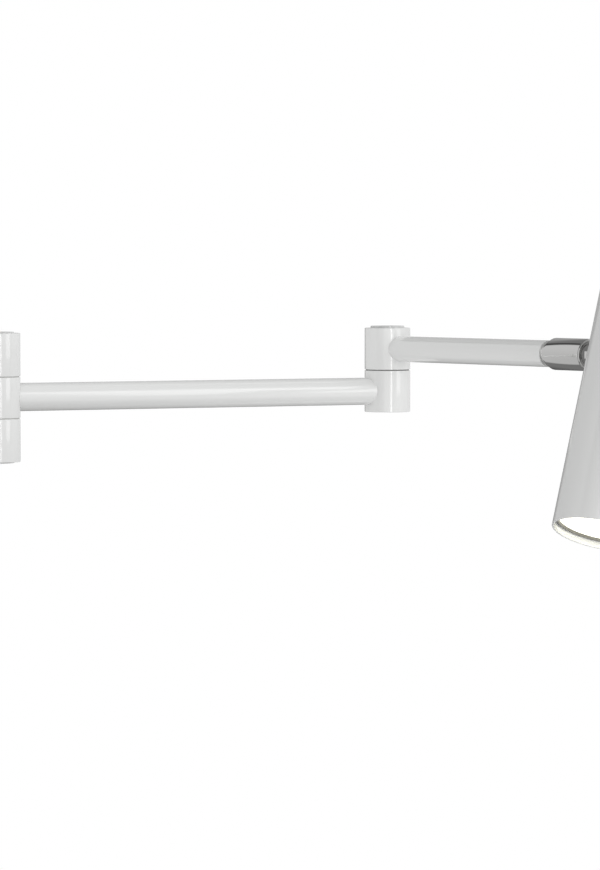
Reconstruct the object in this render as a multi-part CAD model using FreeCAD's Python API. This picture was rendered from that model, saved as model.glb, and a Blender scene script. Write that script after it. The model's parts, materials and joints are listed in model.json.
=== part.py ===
import FreeCAD, Part
import math
import os

from FreeCAD import Placement, Rotation, Vector

# A wall lamp with two swinging arms. All lengths are millimetres, +Z is up.
# The wall is the plane Y = 0 and the room lies towards -Y.
# The origin is the centre of the bracket's back face, level with the inner arm's axis.

# Overrun of every cutting tool past the faces that it cuts
overrun = 1.0
# Gap between two pieces that are pressed, screwed or welded together
seat_gap = 0.03
# Radial clearance of a shaft that turns in its hole
running_gap = 0.05

# Rest pose
inner_arm_turn_deg = 41.0
elbow_bend_deg = 82.0
head_turn_deg = -21.7
head_tilt_deg = 9.1

# Reach of the two arms
standoff = 50.0
inner_reach = 250.0
collar_reach = 155.2

# Barrels of the two upright pivots
wall_barrel_height = 24.4
root_barrel_height = 23.0
elbow_barrel_height = 24.6
barrel_edge = 0.35

# Thin washers that show as fine lines between the barrels
washer_thickness = 0.5
washer_setback = 0.7

# Hollow pivot tubes, their bushes and nuts
pivot_diameter = 10.0
pivot_wall = 1.5
bush_wall = 1.5
bush_end_gap = 0.25
nut_wall = 2.0
nut_sides = 6
pivot_nut_thickness = 4.0
pivot_thread_past_nut = 0.8
nut_pocket_gap = 1.5
nut_pocket_end_gap = 0.4
cable_hole_radius = 3.0

# Caps that close the pivots, on a ledge round the nut pocket, and the barrel's rim round them
cap_ledge = 1.5
barrel_rim = 3.5
cap_seat_depth = 2.0
wall_cap_stand = 0.65
elbow_cap_stand = 1.2
cap_edge = 0.25
cap_skirt_gap = 0.3
cap_skirt_wall = 1.0

# Elbow pivot, blind in the lower barrel
elbow_floor = 7.0
spring_washer_thickness = 0.8
spring_washer_gap = 0.9

# Arm tubes and the spigots of the barrels inside them
inner_tube_diameter = 16.0
outer_tube_diameter = 15.0
tube_wall = 1.5
spigot_length = 12.0

# Stubs of the wall knuckles
stub_diameter = 16.0
stub_thread_diameter = 10.0
stub_nut_thickness = 3.5
stub_thread_past_nut = 1.2

# Canopy and wall bracket
canopy_diameter = 110.0
canopy_depth = 24.0
canopy_wall = 1.5
canopy_corner = 4.0
bracket_inset = 9.0
bracket_thickness = 2.0
bracket_tab_width = 16.0
bracket_tab_depth = 13.0
bracket_tab_gap = 0.6
bracket_bend = 1.2
wall_slot_spacing = 60.0
wall_slot_length = 12.0
wall_slot_width = 4.8
supply_hole_radius = 9.0
canopy_screw_setback = 8.0
canopy_screw_radius = 1.95
canopy_screw_head_radius = 3.6
canopy_screw_head_height = 2.0
canopy_screw_past_tab = 1.5

# Terminal block, its screws and the earth screw
block_pole_pitch = 10.0
block_poles = 3
block_height = 16.0
block_depth = 13.0
block_corner_gap = 1.1
block_below_hole = 10.0
block_well_gap = 0.4
block_well_depth = 6.0
block_well_place_share = 0.25
block_bore_radius = 1.8
terminal_shank_radius = 0.9
terminal_shank_length = 1.6
terminal_screw_radius = 2.2
terminal_screw_height = 2.5
screw_slot_width = 0.8
screw_slot_depth = 0.8
block_screw_radius = 1.3
block_screw_head_radius = 1.9
block_screw_head_height = 1.5
earth_inset = 8.5
earth_screw_radius = 1.9
earth_screw_head_radius = 3.5
earth_screw_head_height = 2.4
earth_washer_radius = 4.6
earth_washer_thickness = 0.8

# Chromed joint at the end of the outer arm
collar_step = 0.4
collar_length = 2.0
cone_length = 4.4
socket_length = 36.8
socket_wall = 1.0
socket_edge = 0.35
ball_setback = 4.0
ball_radius = 7.0
ball_gap = 0.05
seat_wall = 1.0
seat_floor = 1.0
seat_bore_radius = 3.5
seat_ring_gap = 0.25
ring_face_setback = 0.4
ring_inner_start = 0.6
ring_lip_depth = 0.34
ring_lip_flare = 0.35
plug_wall = 1.0
plug_length = 14.0
nipple_in_plug = 11.0
nipple_wall = 1.4
nipple_flange_gap = 0.6
nipple_flange_thickness = 1.5
nipple_washer_thickness = 0.5
disc_spring_count = 4
disc_spring_thickness = 0.5
disc_spring_rise = 0.625
disc_spring_gap = 0.4
disc_spring_hole_step = 0.3

# Stem between the ball and the shade
stem_reach = 16.5
stem_radius = 3.5
stem_flange_radius = 5.5
stem_flange_thickness = 2.0
stem_bore_radius = 2.2
stem_thread_radius = 3.25
saddle_thickness = 1.0
inner_saddle_thickness = 1.6
stem_washer_radius = 5.6
stem_washer_thickness = 0.8
stem_nut_wall = 1.75
stem_nut_thickness = 3.0
stem_thread_past_nut = 0.8

# Shade and lid
shade_wall = 1.2
shade_below_stem = 110.5
shade_above_stem = 60.0
lid_thickness = 2.0
lid_edge = 0.8
lid_skirt_depth = 6.0
lid_skirt_wall = 1.2
mouth_edge = 0.3

# Lamp with a two-pin twist base
lens_setback = 5.0
lamp_diameter = 50.0
lamp_gap = 0.8
lamp_rim_height = 3.5
lamp_rim_wall = 1.0
lens_thickness = 2.0
lamp_wall = 1.6
lens_ledge = 1.4
bowl_bulge_share = 0.25
lamp_neck_diameter = 22.0
lamp_bowl_height = 32.0
lamp_base_height = 14.5
lamp_base_spigot = 2.5
lamp_base_spigot_step = 1.4
pin_spacing = 10.0
pin_radius = 1.5
pin_length = 7.0
pin_head_radius = 2.5
pin_head_height = 2.4

# Lampholder, its contacts and its bracket
holder_diameter = 27.0
holder_height = 23.0
holder_edge = 0.8
holder_well_depth = 11.0
holder_well_gap = 0.4
contact_thickness = 0.6
contact_gap = 0.3
bracket_leg_thickness = 1.5
bracket_leg_bend = 1.0
bracket_leg_width = 16.0
bracket_leg_above_stem = 8.0
bracket_foot_past_axis = 12.0
holder_screw_spacing = 14.0
holder_screw_radius = 1.45
holder_screw_length = 7.0
holder_screw_head_radius = 2.7
holder_screw_head_height = 1.6

# Sizes that follow from the ones above
pivot_radius = pivot_diameter / 2
pivot_nut_flats = pivot_diameter + 2 * nut_wall
stub_nut_flats = stub_thread_diameter + 2 * nut_wall
nut_pocket_radius = pivot_nut_flats / 2 + nut_pocket_gap
nut_pocket_depth = spring_washer_thickness + pivot_nut_thickness + pivot_thread_past_nut + nut_pocket_end_gap
spring_washer_radius = nut_pocket_radius - spring_washer_gap
cap_radius = nut_pocket_radius + cap_ledge
cap_skirt_depth = pivot_thread_past_nut + nut_pocket_end_gap - cap_skirt_gap
barrel_radius = cap_radius + barrel_rim
bush_radius = pivot_radius + running_gap + bush_wall
root_half = root_barrel_height / 2
knuckle_bottom = root_half + washer_thickness
knuckle_top = knuckle_bottom + wall_barrel_height
stub_level = (knuckle_bottom + knuckle_top) / 2
elbow_half = elbow_barrel_height / 2
upper_barrel_bottom = elbow_half + washer_thickness
outer_arm_level = upper_barrel_bottom + elbow_half
stub_reach = standoff - canopy_depth
bracket_radius = canopy_diameter / 2 - bracket_inset
canopy_inner_radius = canopy_diameter / 2 - canopy_wall
block_half_length = block_pole_pitch * block_poles / 2
block_below = -(supply_hole_radius + block_below_hole + block_height / 2)
block_well_radius = terminal_screw_radius + block_well_gap
arm_plug_radius = outer_tube_diameter / 2 - tube_wall - seat_gap
nipple_radius = arm_plug_radius - plug_wall - seat_gap
collar_radius = outer_tube_diameter / 2 - collar_step
socket_bore = ball_radius + seat_wall
socket_radius = socket_bore + socket_wall
ball_reach = collar_reach + socket_length - ball_setback
shade_inner_radius = lamp_diameter / 2 + lamp_gap
shade_radius = shade_inner_radius + shade_wall
shade_face = stem_reach
shade_offset = stem_reach + shade_radius
stem_nut_flats = (stem_thread_radius + stem_nut_wall) * 2
lens_radius = lamp_diameter / 2 - lamp_rim_wall
lens_front = lens_setback - shade_below_stem
lamp_neck_level = lens_front + lamp_bowl_height
lamp_base_top = lamp_neck_level + lamp_base_height
holder_top = lamp_base_top + holder_height
holder_well_radius = pin_head_radius + holder_well_gap
contact_radius = holder_well_radius - contact_gap

# Share of a rounded corner's radius that lies under the middle of its arc
ARC_SHARE = math.sqrt(0.5)
FULL_TURN = 360.0
HALF_TURN = 180.0
QUARTER_TURN = 90.0

UP = Vector(0, 0, 1)
ALONG = Vector(1, 0, 0)
ACROSS = Vector(0, 1, 0)
HERE = Vector(0, 0, 0)


# Frames of the moving sub-assemblies, each in the frame of the one that carries it

def placement(x, y, z, axis, degrees):
    return Placement(Vector(x, y, z), Rotation(axis, degrees))


WALL_PIVOT = placement(0, -standoff, 0, UP, 0)
INNER_ARM = WALL_PIVOT * placement(0, 0, 0, UP, inner_arm_turn_deg - QUARTER_TURN)
OUTER_ARM = INNER_ARM * placement(inner_reach, 0, outer_arm_level, UP, -elbow_bend_deg)
ELBOW = INNER_ARM * placement(inner_reach, 0, 0, UP, 0)
SOCKET = OUTER_ARM * placement(ball_reach, 0, 0, ALONG, head_turn_deg)
HEAD = SOCKET * placement(0, 0, 0, ACROSS, -head_tilt_deg)


def placed(shape, frame):
    """A copy of a shape, moved with its geometry into the lamp's own frame."""
    return shape.transformed(frame.toMatrix(), True)


# Plain forms

def long_leg(slope, short_leg):
    """The third side of a right triangle, from its slope and one leg."""
    return math.sqrt(slope ** 2 - short_leg ** 2)


def rod(radius, start, end, axis=UP, centre=HERE):
    """A round bar along an axis, from one distance to another."""
    return Part.makeCylinder(radius, end - start, centre + axis * start, axis)


def pipe(outer, inner, start, end, axis=UP, centre=HERE):
    """A round bar with a bore right through it."""
    bar = rod(outer, start, end, axis, centre)
    return bar.cut(rod(inner, start - overrun, end + overrun, axis, centre))


def block(x0, x1, y0, y1, z0, z1):
    return Part.makeBox(x1 - x0, y1 - y0, z1 - z0, Vector(x0, y0, z0))


def profile(points, across, up, start=HERE):
    """Flat face from (across, up) points; a third value bulges the next side into an arc
    through that (across, up) point."""
    spots = [start + across * point[0] + up * point[1] for point in points]
    edges = []
    for i, point in enumerate(points):
        nxt = spots[(i + 1) % len(spots)]
        if len(point) > 2:
            middle = start + across * point[2][0] + up * point[2][1]
            edges.append(Part.Arc(spots[i], middle, nxt).toShape())
        else:
            edges.append(Part.LineSegment(spots[i], nxt).toShape())
    return Part.Face(Part.Wire(edges))


def turned(points, axis=UP):
    """A piece turned on a lathe, from its (radius, height) points."""
    across = ALONG if axis is UP else UP
    return profile(points, across, axis).revolve(HERE, axis, FULL_TURN)


def hexagon(flats, bore, start, end, axis=UP, centre=HERE):
    """A plain hexagon nut."""
    corner = flats / 2 / math.cos(math.pi / nut_sides)
    across = ALONG if axis is not ALONG else ACROSS
    other = axis.cross(across)
    points = []
    for i in range(nut_sides + 1):
        angle = 2 * math.pi * i / nut_sides
        spoke = across * (corner * math.cos(angle)) + other * (corner * math.sin(angle))
        points.append(centre + axis * start + spoke)
    body = Part.Face(Part.makePolygon(points)).extrude(axis * (end - start))
    return body.cut(rod(bore, start - overrun, end + overrun, axis, centre))


def screw(shank, length, head, head_height, seat, axis):
    """A slotted pan-head screw whose head sits at a point and whose shank runs along an axis."""
    body = rod(shank, 0, length, axis, seat).fuse(rod(head, -head_height, 0, axis, seat))
    across = UP if abs(axis.z) < abs(axis.x) + abs(axis.y) else ALONG
    side = axis.cross(across)
    half = screw_slot_width / 2
    corner = seat - axis * (head_height + overrun) - across * (head + overrun) - side * half
    tool = Part.makePolygon([
        corner, corner + side * screw_slot_width,
        corner + side * screw_slot_width + axis * (overrun + screw_slot_depth),
        corner + axis * (overrun + screw_slot_depth), corner,
    ])
    return body.cut(Part.Face(tool).extrude(across * (head + overrun) * 2))


def bent_strip(foot, leg, thickness, bend, width):
    """Flat strip along X whose end is bent up along Z, with its middle on the X axis."""
    outer = bend + thickness
    lean = outer * ARC_SHARE
    inner_lean = bend * ARC_SHARE
    centre = foot - outer
    face = profile([
        (0, 0), (centre, 0, (centre + lean, outer - lean)), (foot, outer), (foot, leg),
        (foot - thickness, leg), (foot - thickness, outer, (centre + inner_lean, outer - inner_lean)),
        (centre, thickness), (0, thickness),
    ], ALONG, UP, ACROSS * (-width / 2))
    return face.extrude(ACROSS * width)


def mirrored_down(shape):
    return shape.mirror(HERE, UP)


# Wall mount

def canopy():
    """Spun round cover with a rounded front corner, open towards the wall."""
    outer = canopy_diameter / 2
    inner = canopy_inner_radius
    corner = canopy_corner
    inner_corner = corner - canopy_wall
    front = -canopy_depth
    bend = (outer - corner + corner * ARC_SHARE, front + corner - corner * ARC_SHARE)
    inner_bend = (outer - corner + inner_corner * ARC_SHARE, front + corner - inner_corner * ARC_SHARE)
    cup = turned([
        (0, front), (outer - corner, front, bend), (outer, front + corner), (outer, 0),
        (inner, 0), (inner, front + corner, inner_bend),
        (outer - corner, front + canopy_wall), (0, front + canopy_wall),
    ], ACROSS)
    hole = stub_thread_diameter / 2 + seat_gap
    for level in (stub_level, -stub_level):
        cup = cup.cut(rod(hole, front - overrun, overrun, ACROSS, Vector(0, 0, level)))
    for side in (1, -1):
        centre = Vector(0, -canopy_screw_setback, 0)
        drill = rod(canopy_screw_radius + seat_gap, 0, outer + overrun, ALONG * side, centre)
        cup = cup.cut(drill)
    return cup


def tab_face():
    """Distance of a bracket tab's outer face from the middle, clear of the round canopy."""
    return long_leg(canopy_inner_radius - bracket_tab_gap, bracket_tab_width / 2)


def wall_bracket():
    """Round steel plate on the wall, with two tabs bent forward for the canopy screws."""
    plate = rod(bracket_radius, -bracket_thickness, 0, ACROSS)
    face = tab_face()
    forward = placement(0, 0, 0, ALONG, QUARTER_TURN)
    for turn in (0, HALF_TURN):
        strip = bent_strip(face, bracket_tab_depth, bracket_thickness, bracket_bend, bracket_tab_width)
        plate = plate.fuse(placed(strip, placement(0, 0, 0, ACROSS, turn) * forward))
    plate = plate.cut(rod(supply_hole_radius, -bracket_thickness - overrun, overrun, ACROSS))
    end = wall_slot_width / 2
    for side in (1, -1):
        middle = side * wall_slot_spacing / 2
        flat = wall_slot_length / 2 - end
        slot = block(middle - flat, middle + flat, -bracket_thickness - overrun, overrun, -end, end)
        for way in (1, -1):
            centre = Vector(middle + way * flat, 0, 0)
            slot = slot.fuse(rod(end, -bracket_thickness - overrun, overrun, ACROSS, centre))
        plate = plate.cut(slot)
        centre = Vector(0, -canopy_screw_setback, 0)
        drill = rod(canopy_screw_radius + seat_gap, supply_hole_radius, face + overrun, ALONG * side, centre)
        plate = plate.cut(drill)
    for radius, place in ((block_screw_radius, block_fixing()), (earth_screw_radius, earth_place())):
        drill = rod(radius + seat_gap, -bracket_thickness - overrun, overrun, ACROSS, place)
        plate = plate.cut(drill)
    return plate.removeSplitter()


def canopy_screws():
    """The two side screws that hold the canopy to the bracket's tabs."""
    outer = canopy_diameter / 2
    length = outer - tab_face() + bracket_thickness + canopy_screw_past_tab
    made = []
    for side in (1, -1):
        seat = Vector(side * outer, -canopy_screw_setback, 0)
        made.append(screw(canopy_screw_radius, length, canopy_screw_head_radius,
                          canopy_screw_head_height, seat, ALONG * -side))
    return Part.makeCompound(made)


def block_across():
    """Middle of the terminal block along X, with its lower corner clear of the canopy."""
    drop = block_height / 2 - block_below
    return block_half_length - long_leg(canopy_inner_radius - block_corner_gap, drop)


def block_pole_places():
    """Middle of each pole of the terminal block, along X."""
    first = block_across() - block_pole_pitch * (block_poles - 1) / 2
    return [first + block_pole_pitch * i for i in range(block_poles)]


def block_fixing():
    """Place of the screw that holds the terminal block, between two poles."""
    return Vector(block_across() - block_pole_pitch / 2, 0, block_below)


def earth_place():
    """Place of the earth screw, as far above the supply hole as the block is below it."""
    return Vector(long_leg(bracket_radius - earth_inset, block_below), 0, -block_below)


def terminal_block():
    """Moulded connector: each pole has two screw wells and a wire bore."""
    half_height = block_height / 2
    back = -bracket_thickness
    front = back - block_depth
    middle = block_across()
    body = block(middle - block_half_length, middle + block_half_length, front, back,
                 block_below - half_height, block_below + half_height)
    bore_level = front + block_well_depth + block_bore_radius
    for place in block_pole_places():
        for way in (1, -1):
            well = Vector(place, 0, block_below + way * block_height * block_well_place_share)
            floor = front + block_well_depth
            tool = rod(block_well_radius, front - overrun, floor, ACROSS, well)
            tool = tool.fuse(rod(terminal_shank_radius + seat_gap, front, floor + terminal_shank_length,
                                 ACROSS, well))
            body = body.cut(tool)
        bore = Vector(place, bore_level, block_below)
        body = body.cut(rod(block_bore_radius, -half_height - overrun, half_height + overrun, UP, bore))
    hole = block_screw_radius + seat_gap
    return body.cut(rod(hole, front - overrun, back + overrun, ACROSS, block_fixing()))


def terminal_screws():
    """Slotted screws that stand in the wells of the terminal block."""
    floor = -bracket_thickness - block_depth + block_well_depth
    made = []
    for place in block_pole_places():
        for way in (1, -1):
            seat = Vector(place, floor, block_below + way * block_height * block_well_place_share)
            made.append(screw(terminal_shank_radius, terminal_shank_length, terminal_screw_radius,
                              terminal_screw_height, seat, ACROSS))
    return Part.makeCompound(made)


def block_screw():
    """Long screw from the face of the terminal block into the bracket."""
    front = -bracket_thickness - block_depth
    seat = block_fixing() + ACROSS * front
    return screw(block_screw_radius, -front, block_screw_head_radius,
                 block_screw_head_height, seat, ACROSS)


def earth_screw():
    """Earth screw with its washer, in the bracket."""
    middle = earth_place()
    seat = middle + ACROSS * (-bracket_thickness - earth_washer_thickness)
    body = screw(earth_screw_radius, bracket_thickness + earth_washer_thickness, earth_screw_head_radius,
                 earth_screw_head_height, seat, ACROSS)
    washer = rod(earth_washer_radius, -bracket_thickness - earth_washer_thickness,
                 -bracket_thickness, ACROSS, middle)
    return body.fuse(washer).removeSplitter()


# Wall pivot

def pivot_void(bore, bottom, top):
    """Bore, nut pocket and cap seat of a barrel, as one cutting tool."""
    seat_floor = top - cap_seat_depth
    pocket_floor = seat_floor - nut_pocket_depth
    void = rod(bore, bottom - overrun, top)
    void = void.fuse(rod(nut_pocket_radius, pocket_floor, top))
    return void.fuse(rod(cap_radius + seat_gap, seat_floor, top + overrun))


def barrel_blank(bottom, top):
    """Round barrel with both outer corners broken."""
    return turned([
        (0, bottom), (barrel_radius - barrel_edge, bottom), (barrel_radius, bottom + barrel_edge),
        (barrel_radius, top - barrel_edge), (barrel_radius - barrel_edge, top), (0, top),
    ])


def upper_wall_knuckle():
    """Fixed barrel with a stub that is bolted through the canopy."""
    level = Vector(0, 0, stub_level)
    thread_end = stub_reach + canopy_wall + stub_nut_thickness + stub_thread_past_nut
    body = barrel_blank(knuckle_bottom, knuckle_top)
    body = body.fuse(rod(stub_diameter / 2, 0, stub_reach, ACROSS, level))
    body = body.fuse(rod(stub_thread_diameter / 2, 0, thread_end, ACROSS, level))
    body = body.cut(pivot_void(pivot_radius + seat_gap, knuckle_bottom, knuckle_top))
    return body.cut(rod(cable_hole_radius, 0, thread_end + overrun, ACROSS, level)).removeSplitter()


def lower_wall_knuckle():
    return mirrored_down(upper_wall_knuckle())


def knuckle_nuts():
    """Nuts on the stubs, inside the canopy."""
    start = stub_reach + canopy_wall
    end = start + stub_nut_thickness
    bore = stub_thread_diameter / 2 + seat_gap
    made = [hexagon(stub_nut_flats, bore, start, end, ACROSS, Vector(0, 0, level))
            for level in (stub_level, -stub_level)]
    return Part.makeCompound(made)


def wall_pocket_floor():
    return knuckle_top - cap_seat_depth - nut_pocket_depth


def wall_pivot_tube():
    """Hollow pin through the three wall barrels, with windows for the wires."""
    end = wall_pocket_floor() + pivot_nut_thickness + pivot_thread_past_nut
    tube = pipe(pivot_radius, pivot_radius - pivot_wall, -end, end)
    for level in (stub_level, -stub_level):
        tube = tube.cut(rod(cable_hole_radius, 0, pivot_radius + overrun, ACROSS, Vector(0, 0, level)))
    reach = pivot_radius + overrun
    for axis in (ALONG, ACROSS):
        tube = tube.cut(rod(cable_hole_radius, -reach, reach, axis))
    return tube


def wall_pivot_nuts():
    floor = wall_pocket_floor()
    nut = hexagon(pivot_nut_flats, pivot_radius + seat_gap, floor, floor + pivot_nut_thickness)
    return Part.makeCompound([nut, mirrored_down(nut)])


def pivot_cap(top, stand):
    """Thin disc that sits in a barrel's end and stands a little proud of it."""
    floor = top - cap_seat_depth
    disc = turned([
        (0, floor), (cap_radius, floor), (cap_radius, top + stand - cap_edge),
        (cap_radius - cap_edge, top + stand), (0, top + stand),
    ])
    skirt = nut_pocket_radius - seat_gap
    ring = pipe(skirt, skirt - cap_skirt_wall, floor - cap_skirt_depth, floor)
    return disc.fuse(ring).removeSplitter()


def wall_washers():
    """Nylon washers above and below the root barrel."""
    washer = pipe(barrel_radius - washer_setback, pivot_radius + running_gap, root_half, knuckle_bottom)
    return Part.makeCompound([washer, mirrored_down(washer)])


# Inner arm

def arm_spigot(tube_diameter, way):
    """Spigot that stands out of a barrel into an arm tube."""
    radius = tube_diameter / 2 - tube_wall - seat_gap
    return rod(radius, 0, barrel_radius + spigot_length, ALONG * way)


def root_barrel():
    """Middle barrel of the wall pivot, with the inner arm's spigot."""
    body = barrel_blank(-root_half, root_half).fuse(arm_spigot(inner_tube_diameter, 1))
    body = body.cut(rod(bush_radius + seat_gap, -root_half - overrun, root_half + overrun))
    cable = rod(cable_hole_radius, 0, barrel_radius + spigot_length + overrun, ALONG)
    return body.cut(cable).removeSplitter()


def root_bush():
    """Plain bush that turns on the wall pivot tube."""
    end = root_half - bush_end_gap
    bush = pipe(bush_radius, pivot_radius + running_gap, -end, end)
    return bush.cut(rod(cable_hole_radius, 0, bush_radius + overrun, ALONG))


def coped_tube(diameter, start_axis, end, far_barrel):
    """Arm tube whose ends are shaped to the barrels that they meet."""
    tube = pipe(diameter / 2, diameter / 2 - tube_wall, start_axis, end, ALONG)
    cutter = barrel_radius + seat_gap
    tube = tube.cut(rod(cutter, -diameter, diameter))
    if far_barrel:
        tube = tube.cut(rod(cutter, -diameter, diameter, UP, ALONG * end))
    return tube


def inner_arm_tube():
    return coped_tube(inner_tube_diameter, 0, inner_reach, True)


def elbow_lower_barrel():
    """Blind barrel at the inner arm's end; the elbow pivot stands in it."""
    body = barrel_blank(-elbow_half, elbow_half).fuse(arm_spigot(inner_tube_diameter, -1))
    body = body.cut(rod(pivot_radius + seat_gap, elbow_floor - elbow_half, elbow_half + overrun))
    cable = rod(cable_hole_radius, 0, barrel_radius + spigot_length + overrun, -ALONG)
    return body.cut(cable).removeSplitter()


def elbow_pocket_floor():
    """Height of the nut pocket's floor in the upper barrel, from the inner arm's axis."""
    return outer_arm_level + elbow_half - cap_seat_depth - nut_pocket_depth


def elbow_pivot_tube():
    """Hollow pin of the elbow, with windows for the wires."""
    nut_top = elbow_pocket_floor() + spring_washer_thickness + pivot_nut_thickness
    tube = pipe(pivot_radius, pivot_radius - pivot_wall, elbow_floor - elbow_half,
                nut_top + pivot_thread_past_nut)
    reach = pivot_radius + overrun
    tube = tube.cut(rod(cable_hole_radius, 0, reach, -ALONG))
    for axis in (ALONG, ACROSS):
        tube = tube.cut(rod(cable_hole_radius, -reach, reach, axis, UP * outer_arm_level))
    return tube


def elbow_washer():
    return pipe(barrel_radius - washer_setback, pivot_radius + seat_gap, elbow_half, upper_barrel_bottom)


def elbow_spring_washer():
    """Washer that gives the elbow its drag."""
    floor = elbow_pocket_floor()
    return pipe(spring_washer_radius, pivot_radius + seat_gap, floor, floor + spring_washer_thickness)


def elbow_nut():
    start = elbow_pocket_floor() + spring_washer_thickness
    return hexagon(pivot_nut_flats, pivot_radius + seat_gap, start, start + pivot_nut_thickness)


# Outer arm

def elbow_upper_barrel():
    """Barrel of the outer arm, with its spigot, nut pocket and cap seat."""
    body = barrel_blank(-elbow_half, elbow_half).fuse(arm_spigot(outer_tube_diameter, 1))
    body = body.cut(pivot_void(bush_radius + seat_gap, -elbow_half, elbow_half))
    cable = rod(cable_hole_radius, 0, barrel_radius + spigot_length + overrun, ALONG)
    return body.cut(cable).removeSplitter()


def elbow_bush():
    """Plain bush of the outer arm on the elbow pivot."""
    top = elbow_half - cap_seat_depth - nut_pocket_depth - bush_end_gap
    bush = pipe(bush_radius, pivot_radius + running_gap, bush_end_gap - elbow_half, top)
    return bush.cut(rod(cable_hole_radius, 0, bush_radius + overrun, ALONG))


def elbow_cap():
    return pivot_cap(elbow_half, elbow_cap_stand)


def outer_arm_tube():
    return coped_tube(outer_tube_diameter, 0, collar_reach, False)


def arm_end_plug():
    """Threaded plug pressed into the outer arm's end."""
    return pipe(arm_plug_radius, nipple_radius + seat_gap, collar_reach - plug_length, collar_reach, ALONG)


# Chromed joint, with +X along the outer arm and the ball's centre at the origin

socket_back = ball_setback - socket_length
socket_sphere = ball_radius + ball_gap
seat_back = -ball_radius - seat_floor
disc_spring_pitch = disc_spring_thickness + disc_spring_rise
nipple_flange_face = seat_back - disc_spring_pitch * disc_spring_count
nipple_flange_back = nipple_flange_face - nipple_flange_thickness
nipple_flange_radius = socket_bore - nipple_flange_gap
chamber_floor = nipple_flange_back - nipple_washer_thickness


def swivel_nipple():
    """Hollow screw that holds the socket on the arm and lets it turn."""
    bore = nipple_radius - nipple_wall
    tube = pipe(nipple_radius, bore, socket_back - nipple_in_plug, nipple_flange_face, ALONG)
    flange = pipe(nipple_flange_radius, bore, nipple_flange_back, nipple_flange_face, ALONG)
    return tube.fuse(flange).removeSplitter()


def socket_body():
    """Turned body: collar, cone, straight barrel, and the chamber for seat and springs."""
    bore = nipple_radius + running_gap
    edge = socket_edge
    return turned([
        (bore, socket_back), (collar_radius - edge, socket_back), (collar_radius, socket_back + edge),
        (collar_radius, socket_back + collar_length),
        (socket_radius, socket_back + collar_length + cone_length),
        (socket_radius, ball_setback - edge), (socket_radius - edge, ball_setback),
        (socket_bore, ball_setback), (socket_bore, chamber_floor), (bore, chamber_floor),
    ], ALONG)


def nipple_washer():
    return pipe(nipple_flange_radius, nipple_radius + running_gap, chamber_floor, nipple_flange_back, ALONG)


def ball_seat():
    """Nylon cup behind the ball."""
    outer = socket_bore - seat_gap
    front = ring_inner_start - seat_ring_gap
    depth = -long_leg(socket_sphere, seat_bore_radius)
    middle = depth / 2
    return turned([
        (seat_bore_radius, seat_back), (outer, seat_back), (outer, front),
        (long_leg(socket_sphere, front), front, (long_leg(socket_sphere, middle), middle)),
        (seat_bore_radius, depth),
    ], ALONG)


def disc_springs():
    """Stack of conical springs, set face to face in pairs, that push the seat on the ball."""
    hole = seat_bore_radius + disc_spring_hole_step
    rim = socket_bore - disc_spring_gap
    made = []
    for i in range(disc_spring_count):
        low = nipple_flange_face + disc_spring_pitch * i
        high = low + disc_spring_rise
        inner, outer = (high, low) if i % 2 == 0 else (low, high)
        made.append(turned([
            (hole, inner), (rim, outer),
            (rim, outer + disc_spring_thickness), (hole, inner + disc_spring_thickness),
        ], ALONG))
    return Part.makeCompound(made)


def retaining_ring():
    """Ring screwed into the socket's mouth, with a spherical inside and a flared lip."""
    outer = socket_bore - seat_gap
    face = ball_setback - ring_face_setback
    lip = face - ring_lip_depth
    lip_radius = long_leg(socket_sphere, lip)
    middle = (ring_inner_start + lip) / 2
    return turned([
        (long_leg(socket_sphere, ring_inner_start), ring_inner_start,
         (long_leg(socket_sphere, middle), middle)),
        (lip_radius, lip), (lip_radius + ring_lip_flare, face),
        (outer, face), (outer, ring_inner_start),
    ], ALONG)


# Head, with +X along the stem, +Z up the shade and the ball's centre at the origin

flange_face = shade_face - saddle_thickness
inner_wall = shade_offset - shade_inner_radius
leg_face = inner_wall + inner_saddle_thickness
washer_face = leg_face + bracket_leg_thickness
nut_face = washer_face + stem_washer_thickness
shade_middle = ALONG * shade_offset
thread_hole = stem_thread_radius + running_gap


def ball_stem():
    """Ball and stem turned in one piece, with a wire bore and a threaded end."""
    end = nut_face + stem_nut_thickness + stem_thread_past_nut
    neck = long_leg(ball_radius, stem_radius)
    back = -long_leg(ball_radius, stem_bore_radius)
    flange_back = flange_face - stem_flange_thickness
    return turned([
        (stem_bore_radius, back, (ball_radius, 0)), (stem_radius, neck),
        (stem_radius, flange_back), (stem_flange_radius, flange_back),
        (stem_flange_radius, flange_face), (stem_thread_radius, flange_face),
        (stem_thread_radius, end), (stem_bore_radius, end),
    ], ALONG)


def stem_washer():
    return pipe(stem_washer_radius, stem_thread_radius + seat_gap, washer_face, nut_face, ALONG)


def stem_nut():
    return hexagon(stem_nut_flats, stem_thread_radius + seat_gap, nut_face,
                   nut_face + stem_nut_thickness, ALONG)


def outer_saddle():
    """Washer between the stem's flange and the shade, hollowed to the shade's curve."""
    blank = pipe(stem_flange_radius, thread_hole, flange_face, shade_face + saddle_thickness, ALONG)
    reach = stem_flange_radius + overrun
    return blank.cut(rod(shade_radius + seat_gap, -reach, reach, UP, shade_middle))


def inner_saddle():
    """The same inside the shade, rounded to its inner wall and flat for the bracket."""
    blank = pipe(stem_flange_radius, thread_hole, shade_face, leg_face, ALONG)
    reach = stem_flange_radius + overrun
    return blank.common(rod(shade_inner_radius - seat_gap, -reach, reach, UP, shade_middle))


def shade_tube():
    """Straight round tube, open below, drilled for the stem."""
    top = shade_above_stem - lid_thickness
    bottom = -shade_below_stem
    edge = mouth_edge
    wall = turned([
        (shade_inner_radius, top), (shade_inner_radius, bottom + edge),
        (shade_inner_radius + edge, bottom), (shade_radius - edge, bottom),
        (shade_radius, bottom + edge), (shade_radius, top),
    ])
    wall.translate(shade_middle)
    return wall.cut(rod(thread_hole, shade_face - overrun, inner_wall + overrun, ALONG))


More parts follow.
